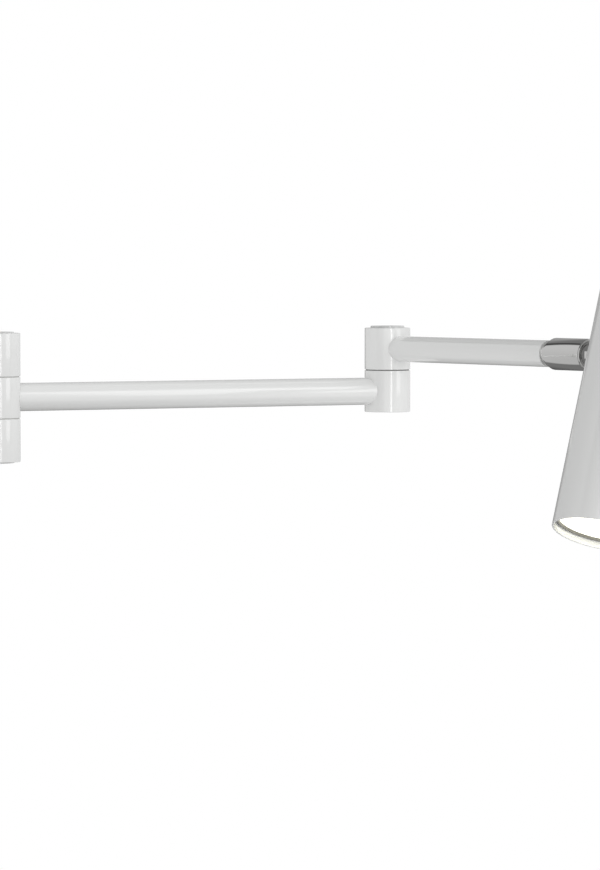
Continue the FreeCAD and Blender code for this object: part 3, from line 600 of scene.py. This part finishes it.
def canopy_screw(way):
    screw = turned("canopy_screw", [
        (SCREW_SHANK, -SHANK_LONG), (SCREW_SHANK, 0), (HEAD_RADIUS, 0),
        *dome(HEAD_RADIUS, HEAD_WALL, HEAD_TALL),
    ], sides=SMALL_ROUND, ring=False, bevel=SCREW_BEVEL)
    clear_selection()
    bpy.ops.mesh.primitive_cube_add(size=1, location=(0, 0, HEAD_TALL * MM))
    tool = bpy.context.object
    tool.scale = (SLOT_WIDE * MM, 3 * HEAD_RADIUS * MM, 2 * SLOT_WIDE * MM)
    combine(screw, tool, "DIFFERENCE")
    settle(screw, CANOPY @ side_frame(way) @ Matrix.Translation((0, 0, CANOPY_RADIUS * MM)))
    return screw


screws = canopy_screw(1)
other_screw = canopy_screw(-1)
activate(screws)
other_screw.select_set(True)
bpy.ops.object.join()
smooth(screws)
hand_over(screws, "canopy_screws")

# %% [markdown]
# The barrels are the lamp's signature: five of them, bored, with a broken edge at each end
# that catches a fine line of light. The wall knuckles also have a stub that runs back to the
# canopy. Each is a solid blank with its stub or spigot joined on. Then its bore is taken out
# with one plain or stepped cutter, and its cable hole is drilled, as a borer would do it.

# %% Barrels
CUT_PAST = 1.0
STUB = 8.0
STUB_REACH = standoff - CANOPY_DEEP
THREAD_LONG = 6.2
THREAD_END = STUB_REACH + THREAD_LONG


def barrel_blank(name, low, high):
    return turned(name, [(BARREL, low), (BARREL, high)], ring=False, bevel=BARREL_EDGE)


def stepped_cutter(bore, low, high):
    """Bore, nut pocket and cap seat in one tool."""
    seat = high - CAP_SEAT_DEEP
    pocket = seat - POCKET_DEEP
    return turned("stepped_cutter", [
        (bore, low - CUT_PAST), (bore, pocket), (POCKET, pocket),
        (POCKET, seat), (CAP_SEAT, seat), (CAP_SEAT, high + CUT_PAST),
    ], ring=False)


def join_rod(piece, radius, start, end, place):
    rod = turned("joined_rod", [(radius, start), (radius, end)], sides=SMALL_ROUND, ring=False)
    settle(rod, place)
    combine(piece, rod, "UNION")


def wall_knuckle(node, flip):
    piece = barrel_blank(node + "_blank", KNUCKLE_LOW, KNUCKLE_TOP)
    lying = along_x(z=STUB_LEVEL)
    join_rod(piece, STUB, 0, STUB_REACH, lying)
    join_rod(piece, STUB_THREAD, STUB_REACH - CUT_PAST, THREAD_END, lying)
    combine(piece, stepped_cutter(BORE, KNUCKLE_LOW, KNUCKLE_TOP), "DIFFERENCE")
    drill(piece, CABLE_HOLE, 0, THREAD_END + CUT_PAST, lying)
    finish_piece(piece, node, WALL @ flip)


LEVEL = Matrix.Identity(4)
UPSIDE_DOWN = Matrix.Rotation(math.radians(180), 4, "X")
wall_knuckle("upper_wall_knuckle", LEVEL)
wall_knuckle("lower_wall_knuckle", UPSIDE_DOWN)


def arm_barrel(node, half, frame_of_barrel, tube, turn, cutter):
    """Barrel with a spigot for an arm tube."""
    piece = barrel_blank(node + "_blank", -half, half)
    lying = along_x(turn=turn)
    join_rod(piece, tube - TUBE_WALL - SEAT_GAP, 0, BARREL + SPIGOT_LONG, lying)
    combine(piece, cutter, "DIFFERENCE")
    drill(piece, CABLE_HOLE, 0, BARREL + SPIGOT_LONG + CUT_PAST, lying)
    finish_piece(piece, node, frame_of_barrel)


def plain_cutter(bore, low, high):
    return turned("plain_cutter", [(bore, low), (bore, high)], ring=False)


arm_barrel("root_barrel", ROOT_HALF, INNER, INNER_TUBE, 0,
           plain_cutter(BUSH_BORE, -ROOT_HALF - CUT_PAST, ROOT_HALF + CUT_PAST))
arm_barrel("elbow_lower_barrel", ELBOW_HALF, ELBOW, INNER_TUBE, 180,
           plain_cutter(BORE, ELBOW_FLOOR - ELBOW_HALF, ELBOW_HALF + CUT_PAST))
arm_barrel("elbow_upper_barrel", ELBOW_HALF, OUTER, OUTER_TUBE, 0,
           stepped_cutter(BUSH_BORE, -ELBOW_HALF, ELBOW_HALF))

# %% [markdown]
# A thin disc closes each pivot. Its skirt drops into the nut pocket and its rim stands a
# little proud of the barrel, with an edge just soft enough to shine.

# %% Pivot caps
SKIRT = POCKET - SEAT_GAP
SKIRT_WALL = 1.0
SKIRT_DEEP = 0.9
WALL_CAP_STAND = 0.65
ELBOW_CAP_STAND = 1.2
CAP_BEVEL = 0.25


def pivot_cap(node, top, stand, place):
    floor = top - CAP_SEAT_DEEP
    piece = turned(node + "_disc", [
        (SKIRT - SKIRT_WALL, floor), (SKIRT - SKIRT_WALL, floor - SKIRT_DEEP),
        (SKIRT, floor - SKIRT_DEEP), (SKIRT, floor), (CAP, floor), (CAP, top + stand),
    ], ring=False, bevel=CAP_BEVEL)
    finish_piece(piece, node, place, CAP_PAINT)


pivot_cap("upper_pivot_cap", KNUCKLE_TOP, WALL_CAP_STAND, WALL)
pivot_cap("lower_pivot_cap", KNUCKLE_TOP, WALL_CAP_STAND, WALL @ UPSIDE_DOWN)
pivot_cap("elbow_cap", ELBOW_HALF, ELBOW_CAP_STAND, OUTER)

# %% [markdown]
# An arm is a plain tube, coped wherever it meets a barrel, that is, cut to the barrel's curve.
# The cope is what makes the joint look made and not glued, so it is cut with the barrel's own
# cylinder. The outer arm's far end stays square, because the chromed collar meets it there.

# %% Arm tubes


def arm_tube(node, radius, reach, place, both_ends):
    inner = radius - TUBE_WALL
    piece = turned(node + "_pipe", [(radius, 0), (radius, reach), (inner, reach), (inner, 0)])
    settle(piece, LYING)
    for x in (0, reach) if both_ends else (0,):
        tool = plain_cutter(BARREL + SEAT_GAP, -2 * radius, 2 * radius)
        settle(tool, Matrix.Translation((x * MM, 0, 0)))
        combine(piece, tool, "DIFFERENCE")
    finish_piece(piece, node, place)


arm_tube("inner_arm_tube", INNER_TUBE, inner_reach, INNER, True)
arm_tube("outer_arm_tube", OUTER_TUBE, collar_reach - SEAT_GAP, OUTER, False)

# %% [markdown]
# The chromed joint is three turned pieces. The body has a collar, a cone and a straight
# barrel, the ring in its mouth holds the ball, and ball and stem are one piece. All are
# closed outlines, drawn along the axis of the lathe, with the bores that the wires need.

# %% Chromed joint
SOCKET_MOUTH = 4.0
COLLAR = 7.1
COLLAR_END = SOCKET_BACK + 2.0
CONE_END = COLLAR_END + 4.4
SOCKET_RADIUS = 9.0
SOCKET_BORE = 8.0
MOUTH_CHAMFER = 0.6
CHAMBER = -14.5
NIPPLE_BORE = 4.99
BALL = 7.0
BALL_ROOM = 7.05
RING_START = 0.6
RING_LIP = 3.26
RING_FACE = 3.6
RING_FLARE = 0.35
STEM = 3.5
STEM_BORE = 2.2
STEM_THREAD = 3.25
FLANGE = 5.5
FLANGE_BACK = 13.5
FLANGE_FACE = 15.5
THREAD_TIP = 25.4
ARC_STEPS = 24
SOCKET_BEVEL = 0.3
RING_BEVEL = 0.12
STEM_BEVEL = 0.22

socket = turned("socket_turning", [
    (NIPPLE_BORE, SOCKET_BACK), (COLLAR, SOCKET_BACK), (COLLAR, COLLAR_END),
    (SOCKET_RADIUS, CONE_END), (SOCKET_RADIUS, SOCKET_MOUTH - MOUTH_CHAMFER),
    (SOCKET_RADIUS - MOUTH_CHAMFER, SOCKET_MOUTH), (SOCKET_BORE, SOCKET_MOUTH),
    (SOCKET_BORE, CHAMBER), (NIPPLE_BORE, CHAMBER),
], bevel=SOCKET_BEVEL)
finish_piece(socket, "socket_body", SOCKET @ LYING, SOCKET_CHROME)


def on_ball(radius, height):
    """Radius of a ball's ring at a height above its middle."""
    return math.sqrt(radius ** 2 - height ** 2)


lip = on_ball(BALL_ROOM, RING_LIP)
ring_tall = RING_LIP - RING_START
ring_steps = [RING_START + ring_tall * i / CORNER_STEPS for i in range(CORNER_STEPS + 1)]
ring_outside = SOCKET_BORE - SEAT_GAP
ring = turned("ring_turning", [
    *[(on_ball(BALL_ROOM, height), height) for height in ring_steps],
    (lip + RING_FLARE, RING_FACE), (ring_outside, RING_FACE), (ring_outside, RING_START),
], bevel=RING_BEVEL)
finish_piece(ring, "retaining_ring", SOCKET @ LYING, RING_CHROME)

back_angle = -math.degrees(math.acos(STEM_BORE / BALL))
neck_angle = math.degrees(math.acos(STEM / BALL))
stem = turned("stem_turning", [
    *round_stretch(0, 0, BALL, back_angle, neck_angle, ARC_STEPS),
    (STEM, FLANGE_BACK), (FLANGE, FLANGE_BACK), (FLANGE, FLANGE_FACE), (STEM_THREAD, FLANGE_FACE),
    (STEM_THREAD, THREAD_TIP), (STEM_BORE, THREAD_TIP),
], bevel=STEM_BEVEL)
finish_piece(stem, "ball_stem", HEAD @ LYING, STEM_CHROME)

# %% [markdown]
# A flat flange can't seat on a round shade, so a thin saddle washer lies between them, flat
# on one side and hollowed to the shade's curve on the other.

# %% Saddle
SHADE = 27.0
SHADE_WALL = 1.2
SADDLE_THICK = 1.0
SADDLE_BEVEL = 0.1
HOLE = 3.3
shade_axis = Matrix.Translation((SHADE_OFFSET * MM, 0, 0))
shade_near = SHADE_OFFSET - SHADE
saddle = turned("saddle_blank", [
    (HOLE, FLANGE_FACE), (FLANGE, FLANGE_FACE), (FLANGE, shade_near + SADDLE_THICK),
    (HOLE, shade_near + SADDLE_THICK),
], bevel=SADDLE_BEVEL)
settle(saddle, LYING)
hollow = turned("saddle_cutter", [(SHADE + SEAT_GAP, -2 * FLANGE), (SHADE + SEAT_GAP, 2 * FLANGE)],
                sides=BIG_ROUND, ring=False)
settle(hollow, shade_axis)
combine(saddle, hollow, "DIFFERENCE")
finish_piece(saddle, "outer_saddle", HEAD)

# %% [markdown]
# The shade is a straight tube, open below, with both lips of its mouth softened. Two extra
# rings of edges fence in the stem's hole, so that the long faces above and below stay flat
# and shine evenly. The lid closes it with a rounded edge and a skirt inside.

# %% Shade and lid
SHADE_TOP = 58.0
SHADE_MOUTH = -110.5
SHADE_INNER = SHADE - SHADE_WALL
FENCE = 8.0
LID_TOP = 60.0
LID_EDGE = 0.8
LID_SKIRT_DEEP = 6.0
SHADE_BEVEL = 0.3
LID_BEVEL = 0.12
shade = turned("shade_pipe", [
    (SHADE_INNER, SHADE_MOUTH), (SHADE, SHADE_MOUTH), (SHADE, -FENCE), (SHADE, FENCE),
    (SHADE, SHADE_TOP), (SHADE_INNER, SHADE_TOP), (SHADE_INNER, FENCE), (SHADE_INNER, -FENCE),
], sides=BIG_ROUND, bevel=SHADE_BEVEL)
settle(shade, shade_axis)
drill(shade, HOLE, shade_near - CUT_PAST, shade_near + SHADE_WALL + CUT_PAST, LYING)
finish_piece(shade, "shade_tube", HEAD)

lid_skirt = SHADE_INNER - SEAT_GAP
lid = turned("lid_pressing", [
    (lid_skirt - SHADE_WALL, SHADE_TOP), (lid_skirt - SHADE_WALL, SHADE_TOP - LID_SKIRT_DEEP),
    (lid_skirt, SHADE_TOP - LID_SKIRT_DEEP), (lid_skirt, SHADE_TOP), (SHADE, SHADE_TOP),
    *round_stretch(SHADE - LID_EDGE, LID_TOP - LID_EDGE, LID_EDGE, 0, 90),
], sides=BIG_ROUND, ring=False, bevel=LID_BEVEL)
finish_piece(lid, "shade_lid", HEAD @ shade_axis)

# %% [markdown]
# The lamp's bowl shows only its rim in the mouth of the shade, but from below one can look
# past that rim into the shade, so its whole curve is there. Its lip stands a little proud of the
# glass, and the inside of the lip is the dark line that runs round the glow. The lens is a
# shallow dome: a flat disc would look like paper.

# %% Reflector lamp
LAMP = 25.0
RIM_TOP = -102.0
NECK = 11.0
NECK_LEVEL = -73.5
BOWL_WALL = 1.6
LENS_THICK = 2.0
LENS_LEDGE = 1.4
LIP_STAND = 1.5
BULGE_SHARE = 0.25
DOME_RISE = 0.6
BOWL_STEPS = 20
BOWL_BEVEL = 0.12
LENS_BEVEL = 0.1


def bowl_curve(rim, rim_level, neck):
    """Steps of the arc from rim to neck, which bulges out of the straight line between them."""
    start = Vector((rim, rim_level))
    reach = Vector((neck - rim, NECK_LEVEL - rim_level))
    middle = Vector(((rim + neck) / 2 + (rim - neck) * BULGE_SHARE, (rim_level + NECK_LEVEL) / 2))
    bulge = middle - start - reach / 2
    steps = []
    for i in range(BOWL_STEPS + 1):
        t = i / BOWL_STEPS
        steps.append(tuple(start + reach * t + bulge * 4 * t * (1 - t)))
    return steps


lens_seat = LENS_RADIUS + SEAT_GAP
ledge = LENS_FRONT + LENS_THICK
bowl = turned("bowl_pressing", [
    (lens_seat, LENS_FRONT - LIP_STAND), (LAMP, LENS_FRONT - LIP_STAND),
    *bowl_curve(LAMP, RIM_TOP, NECK),
    *reversed(bowl_curve(lens_seat - LENS_LEDGE, ledge, NECK - BOWL_WALL)), (lens_seat, ledge),
], bevel=BOWL_BEVEL)
finish_piece(bowl, "lamp_reflector", HEAD @ shade_axis)

dome_steps = [LENS_RADIUS * (1 - i / BOWL_STEPS) for i in range(1, BOWL_STEPS)]
lens = turned("lens_disc", [
    (LENS_RADIUS, ledge), (LENS_RADIUS, LENS_FRONT),
    *[(r, LENS_FRONT - DOME_RISE * (1 - (r / LENS_RADIUS) ** 2)) for r in dome_steps],
], ring=False, bevel=LENS_BEVEL)
finish_piece(lens, "lamp_lens", HEAD @ shade_axis)

# %% [markdown]
# What is left is exact as it stands: washers, bushes, nuts, springs, the terminal block, the
# bracket and the lampholder. These pieces keep their shape and only get their surface.

# %% Surfaces of the pieces that keep their shape
kept_shapes = {node: piece for node, piece in frame["nodes"].items() if not piece.hide_render}
for node, piece in kept_shapes.items():
    piece.data.materials.clear()
    piece.data.materials.append(FINISHES[SLOT_OF[node]])
print("pieces that keep their shape:", len(kept_shapes))

# %% [markdown]
# The camera stands a little more than two metres away, with a long lens, which is why the
# barrels hardly taper. Its place was worked out from the edges of the arms and barrels in
# the picture, and it is written from the wall pivot: so far back, so far right, so far down.

# %% Camera
FOCAL_PX = 4000.0
PICTURE_TALL_PX = 870.0
SENSOR = 36.0
LOOK_TURN = 14.375
LOOK_DOWN = 2.533
CAMERA_BACK = 2.261581
CAMERA_RIGHT = 0.171625
CAMERA_DOWN = 0.021235

look = Matrix.Rotation(math.radians(LOOK_TURN), 3, "Z") @ Vector((1, 0, 0))
right = Vector((look.y, -look.x, 0))
ahead = look * math.cos(math.radians(LOOK_DOWN)) - UP * math.sin(math.radians(LOOK_DOWN))
above = right.cross(ahead)
camera_data = bpy.data.cameras.new("camera")
camera_data.sensor_width = SENSOR
camera_data.lens = FOCAL_PX / PICTURE_TALL_PX * SENSOR
camera = bpy.data.objects.new("camera", camera_data)
bpy.context.scene.collection.objects.link(camera)
camera_spot = pivot_spot + right * CAMERA_RIGHT - above * CAMERA_DOWN - ahead * CAMERA_BACK
turned_camera = Matrix((right, above, -ahead)).transposed().to_4x4()
camera.matrix_world = Matrix.Translation(camera_spot) @ turned_camera
bpy.context.scene.camera = camera
print("camera at", [round(v, 3) for v in camera_spot], "lens", round(camera_data.lens, 1))

# %% [markdown]
# White gloss on white paper is all in the reflections. The picture shows a tall narrow
# window of light that draws a thin line down each barrel, and further round and higher a
# softbox, whose lower edge draws the soft band beside that line and whose middle draws the
# bright band along the inner arm. Two area lamps stand for them, and the sky for the room.
# Two weak ones fill the elbow: one is the lamp's own light, thrown back up by what stands
# below it, and one is the paper on the wall behind the elbow. No reflection shows them.

# %% Lights
LAMP_DISTANCE = 2.0
STRIP_TURN = 22.0
STRIP_WIDE = 0.18
STRIP_TALL = 1.8
STRIP_POWER = 5.0
SOFTBOX_TURN = 59.5
SOFTBOX_RISE = 17.0
SOFTBOX_WIDE = 0.75
SOFTBOX_TALL = 1.5
SOFTBOX_POWER = 5.2
BOUNCE_BACK = 0.25
BOUNCE_BELOW = 0.32
BOUNCE_WIDE = 0.20
BOUNCE_SPREAD = 70.0
BOUNCE_POWER = 0.07
WALL_GLOW_PAST = 0.06
WALL_GLOW_OFF = 0.02
WALL_GLOW_WIDE = 0.30
WALL_GLOW_POWER = 0.18
middle_spot = (pivot_spot + elbow_spot) / 2


def round_the_lamp(turn, rise):
    """Place square-on to the wall lamp, at a turn and a rise from the camera's direction."""
    angle = math.radians(turn)
    level_way = right * math.sin(angle) - look * math.cos(angle)
    way = level_way * math.cos(math.radians(rise)) + UP * math.sin(math.radians(rise))
    return frame_at(middle_spot + way * LAMP_DISTANCE, UP.cross(level_way), way)


def area_lamp(name, place, wide, tall, power, mirrored=True):
    data = bpy.data.lights.new(name, "AREA")
    data.shape = "RECTANGLE"
    data.size = wide
    data.size_y = tall
    data.energy = power
    lamp = bpy.data.objects.new(name, data)
    bpy.context.scene.collection.objects.link(lamp)
    lamp.matrix_world = place
    lamp.visible_camera = False
    lamp.visible_glossy = mirrored
    return data


area_lamp("window_strip", round_the_lamp(STRIP_TURN, 0), STRIP_WIDE, STRIP_TALL, STRIP_POWER)
area_lamp("softbox", round_the_lamp(SOFTBOX_TURN, SOFTBOX_RISE),
          SOFTBOX_WIDE, SOFTBOX_TALL, SOFTBOX_POWER)
below = -look * BOUNCE_BACK - UP * BOUNCE_BELOW
bounce = area_lamp("bounce", frame_at((elbow_spot + ball_spot) / 2 + below, right, below),
                   BOUNCE_WIDE, BOUNCE_WIDE, BOUNCE_POWER, mirrored=False)
bounce.spread = math.radians(BOUNCE_SPREAD)
glow_spot = Vector((elbow_spot.x + WALL_GLOW_PAST, -WALL_GLOW_OFF, elbow_spot.z))
area_lamp("wall_glow", frame_at(glow_spot, (1, 0, 0), (0, 1, 0)),
          WALL_GLOW_WIDE, WALL_GLOW_WIDE, WALL_GLOW_POWER, mirrored=False)
print("lights:", [light.name for light in bpy.data.lights])

# %% [markdown]
# The sky has three answers. To the camera it is white paper. To a mirror it is the wall with
# its paper, which the chrome shows as one broad pale band under a dark seam, a dim zone round
# that, a pale room with a dim ceiling and floor, and white cards up and down beyond the shade,
# which draw the rim of the socket's mouth. To everything else it is soft light, which is even
# on the wall's side and fades downwards on the room's side.

# %% Sky
PAPER_LOW = 0.62
PAPER_HIGH = 0.73
PAPER_START = 0.66
PAPER_FULL = 0.74
SEAM_GREY = 0.06
SEAM_START = 0.56
SEAM_FULL = 0.62
DIM_GREY = 0.22
FAR_GREY = 0.42
FAR_LOW_GREY = 0.12
FAR_START = 0.70
FAR_FULL = 0.98
ROOM_GREY = 0.75
ROOM_START = 0.15
ROOM_FULL = 0.05
CEILING_START = 0.52
CEILING_FULL = 0.60
CARD_GREY = 1.3
CARD_START = -0.24
CARD_FULL = -0.32
WALL_LIGHT = 0.60
ROOM_LIGHT = 0.735
ROOM_SLOPE = 0.36
WALL_START = -0.20
WALL_FULL = 0.35
HORIZON_HALF = 0.05
SEAM_FOOT = 0.1
SEAM_HEAD = 0.3
PAPER_HALF = 0.5


def sky():
    world = bpy.data.worlds.new("studio")
    bpy.context.scene.world = world
    made = Finish("studio", world)
    to_camera = made.node("ShaderNodeLightPath", output="Is Camera Ray")
    to_mirror = made.node("ShaderNodeLightPath", output="Is Glossy Ray")
    way = made.node("ShaderNodeTexCoord", output="Generated")
    way_x, way_y, way_z = (
        made.node("ShaderNodeSeparateXYZ", sockets={"Vector": way}, output=axis) for axis in "XYZ")
    steep = made.node("ShaderNodeMath", {"operation": "ABSOLUTE"}, {0: way_z})
    far = made.blend(made.step(way_z, -HORIZON_HALF, HORIZON_HALF), grey(FAR_LOW_GREY), grey(FAR_GREY))
    dim = made.blend(made.step(way_x, FAR_START, FAR_FULL), grey(DIM_GREY), far)
    seam = made.step(way_y, SEAM_START, SEAM_FULL) * made.step(way_z, SEAM_FOOT, SEAM_HEAD)
    dim = made.blend(seam, dim, grey(SEAM_GREY))
    room = made.blend(made.step(steep, CEILING_START, CEILING_FULL), grey(ROOM_GREY), grey(DIM_GREY))
    mirrored = made.blend(made.step(way_y, ROOM_START, ROOM_FULL), dim, room)
    card = made.step(way_y, CARD_START, CARD_FULL) * made.step(way_x, -CARD_START, -CARD_FULL)
    card = card * made.step(steep, CEILING_START, CEILING_FULL)
    mirrored = made.blend(card, mirrored, grey(CARD_GREY))
    wallpaper = made.blend(made.step(way_z, -PAPER_HALF, PAPER_HALF), grey(PAPER_LOW), grey(PAPER_HIGH))
    mirrored = made.blend(made.step(way_y, PAPER_START, PAPER_FULL), mirrored, wallpaper)
    room_light = way_z * ROOM_SLOPE + ROOM_LIGHT
    soft = made.blend(made.step(way_y, WALL_START, WALL_FULL), room_light, grey(WALL_LIGHT))
    seen = made.blend(to_mirror, soft, mirrored)
    seen = made.blend(to_camera, seen, grey(1.0))
    light = made.node("ShaderNodeBackground", sockets={"Color": seen, "Strength": 1.0})
    made.node("ShaderNodeOutputWorld", sockets={"Surface": light})


sky()
print("world:", bpy.context.scene.world.name)

# %% [markdown]
# The floor is a plain pale sheet far below, out of the picture. It gives the other views a
# ground that fades into the white round it. Only the camera sees it, and only from above, so
# that it throws no light up at the arms and hides nothing from below.

# %% Floor
FLOOR_LEVEL = -0.55
FLOOR_RADIUS = 1.5
FADE_START = 1.45
FADE_FULL = 0.60
FLOOR_DARK = 0.84
FLOOR_LIGHT = 0.88
floor_spot = Vector((middle_spot.x, middle_spot.y, FLOOR_LEVEL))
clear_selection()
bpy.ops.mesh.primitive_circle_add(vertices=ROUND, radius=FLOOR_RADIUS, fill_type="NGON",
                                  location=floor_spot)
floor = bpy.context.object
floor.name = "floor"
bpy.ops.object.transform_apply(location=True)
paper = Finish("floor_paper")
mottle = paper.noise(scale=3.0, detail=3.0)
tone = paper.blend(mottle, grey(FLOOR_DARK), grey(FLOOR_LIGHT))
sheet = paper.node("ShaderNodeBsdfPrincipled",
                   sockets={"Base Color": tone, "Roughness": 0.8, "Specular IOR Level": 0.2})
clear = paper.node("ShaderNodeBsdfTransparent")
off_centre = paper.node("ShaderNodeVectorMath", {"operation": "DISTANCE"},
                        {0: paper.place(), 1: floor_spot}, output="Value")
seen_directly = paper.node("ShaderNodeLightPath", output="Is Camera Ray")
from_below = paper.node("ShaderNodeNewGeometry", output="Backfacing")
shown = seen_directly * paper.step(off_centre, FADE_START, FADE_FULL) * (1.0 - from_below)
mixed = paper.node("ShaderNodeMixShader", sockets={0: shown, 1: clear, 2: sheet})
paper.node("ShaderNodeOutputMaterial", sockets={"Surface": mixed})
floor.data.materials.append(paper.material)
print("floor", FLOOR_RADIUS, "m in radius, at a height of", FLOOR_LEVEL, "m")

# %% [markdown]
# Last comes the colour setting.

# %% Finish
bpy.context.scene.view_settings.view_transform = "Standard"
